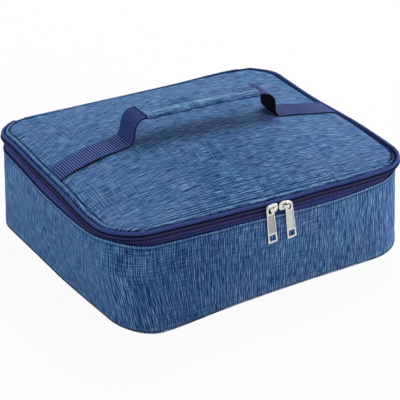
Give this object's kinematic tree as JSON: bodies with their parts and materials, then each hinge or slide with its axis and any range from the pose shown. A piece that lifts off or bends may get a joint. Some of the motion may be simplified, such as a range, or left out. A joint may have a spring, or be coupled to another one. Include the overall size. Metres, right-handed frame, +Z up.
{
  "type": "insulated lunch bag",
  "caption": "Soft insulated lunch bag: rounded box with a crowned lid on a fabric hinge, a zip with two sliders round three sides and a padded webbing handle.",
  "frame": {"origin": "middle of the flat underside, on the surface that the bag stands on", "axes": "+X along the long front towards its right end, +Y from the front with the pulls to the hinge at the back, +Z up"},
  "size_m": [0.3, 0.2604, 0.1383],
  "materials": {
    "bag_fabric": "matte",
    "foam": "matte",
    "foil_liner": "satin",
    "navy_tape": "matte",
    "navy_coil": "satin",
    "navy_piping": "matte",
    "navy_webbing": "matte",
    "metal": "satin",
    "base_board": "matte"
  },
  "bodies": {
    "base": {"bottom_panel": "bag_fabric", "base_board": "base_board", "floor_foam": "foam", "floor_liner": "foil_liner", "floor_binding": "navy_tape", "outer_wall": "bag_fabric", "back_panel": "bag_fabric", "wall_foam": "foam", "back_foam": "foam", "wall_liner": "foil_liner", "wall_binding": "navy_tape", "lower_zip_tape": "navy_tape", "lower_zip_coil": "navy_coil", "hinge_fabric": "bag_fabric"},
    "lid": {"lid_panel": "bag_fabric", "lid_foam": "foam", "lid_liner": "foil_liner", "lid_binding": "navy_tape", "rim_piping": "navy_piping", "upper_zip_tape": "navy_tape", "upper_zip_coil": "navy_coil", "strap_end_left": "navy_webbing", "strap_end_right": "navy_webbing", "strap_riser_left": "navy_webbing", "strap_riser_right": "navy_webbing"},
    "handle": {"strap_middle": "navy_webbing", "grip_wrap": "bag_fabric"},
    "slider_l": {"slider_left": "metal"},
    "slider_r": {"slider_right": "metal"},
    "pull_l": {"pull_left": "metal"},
    "pull_r": {"pull_right": "metal"}
  },
  "joints": [
    {"name": "lid_hinge", "type": "hinge", "parent": "base", "child": "lid", "pos_m": [0, 0.1291, 0.087], "axis": [-1, 0, 0], "range_deg": [0, 180], "deforming": ["hinge_fabric"]},
    {"name": "handle_lift", "type": "slide", "parent": "lid", "child": "handle", "axis": [0, 0, 1], "range_m": [-0.018, 0.0015], "stiffness_N_per_m": 150, "springref_m": 0.0013, "deforming": ["strap_riser_left", "strap_riser_right"]},
    {"name": "left_slider_slide", "type": "slide", "parent": "base", "child": "slider_l", "axis": [-1, 0, 0], "range_m": [0, 0.108]},
    {"name": "right_slider_slide", "type": "slide", "parent": "base", "child": "slider_r", "axis": [1, 0, 0], "range_m": [0, 0.095]},
    {"name": "left_pull_swing", "type": "hinge", "parent": "slider_l", "child": "pull_l", "pos_m": [-0.00315, -0.1299, 0.087], "axis": [0, 1, 0], "range_deg": [-2, 95]},
    {"name": "right_pull_swing", "type": "hinge", "parent": "slider_r", "child": "pull_r", "pos_m": [0.01595, -0.1299, 0.087], "axis": [0, -1, 0], "range_deg": [-12, 85]}
  ]
}
